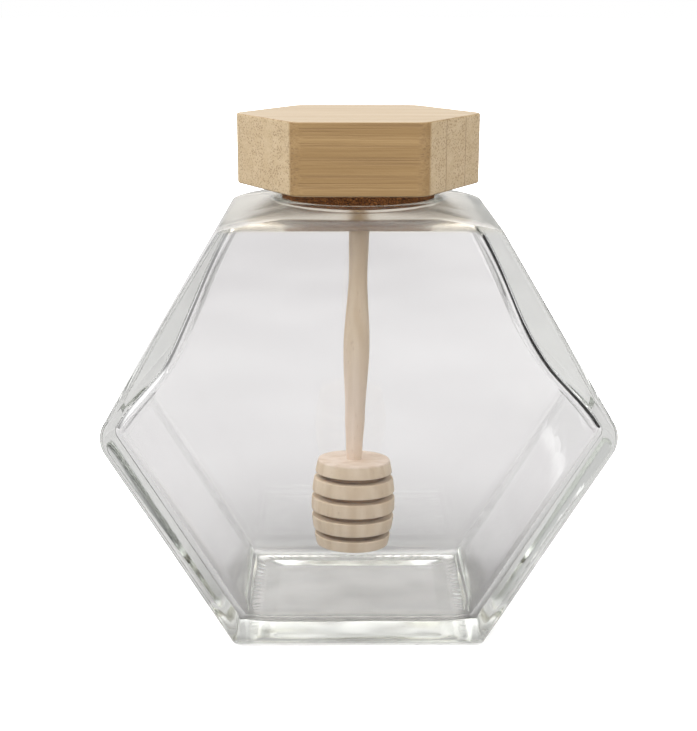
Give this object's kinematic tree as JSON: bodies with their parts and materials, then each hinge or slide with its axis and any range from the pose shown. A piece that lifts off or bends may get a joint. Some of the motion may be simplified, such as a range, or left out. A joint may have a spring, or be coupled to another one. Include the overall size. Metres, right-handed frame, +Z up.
{
  "type": "hexagonal glass storage jar with wooden lid and honey dipper",
  "caption": "Empty clear glass jar with a hexagonal front and thick base, closed by a cork stopper under a hexagonal bamboo lid, with a turned wooden dipper hanging inside.",
  "frame": {"origin": "middle of the jar on the surface it stands on, under the axis of the mouth", "axes": "+Z up along the axis of the mouth, -Y out of the hexagonal front panel, X from side corner to side corner"},
  "size_m": [0.1186, 0.055, 0.1236],
  "materials": {
    "clear_glass": "clear, smooth, fire-polished",
    "dark_cork": "dark pressed cork granules, matt",
    "bamboo": "laminated bamboo, oiled, satin",
    "pale_beech": "turned pale hardwood, bare, satin"
  },
  "bodies": {
    "root": {"glass_jar": "clear_glass", "cork_stopper": "dark_cork", "bamboo_lid": "bamboo", "honey_dipper": "pale_beech"}
  },
  "joints": []
}
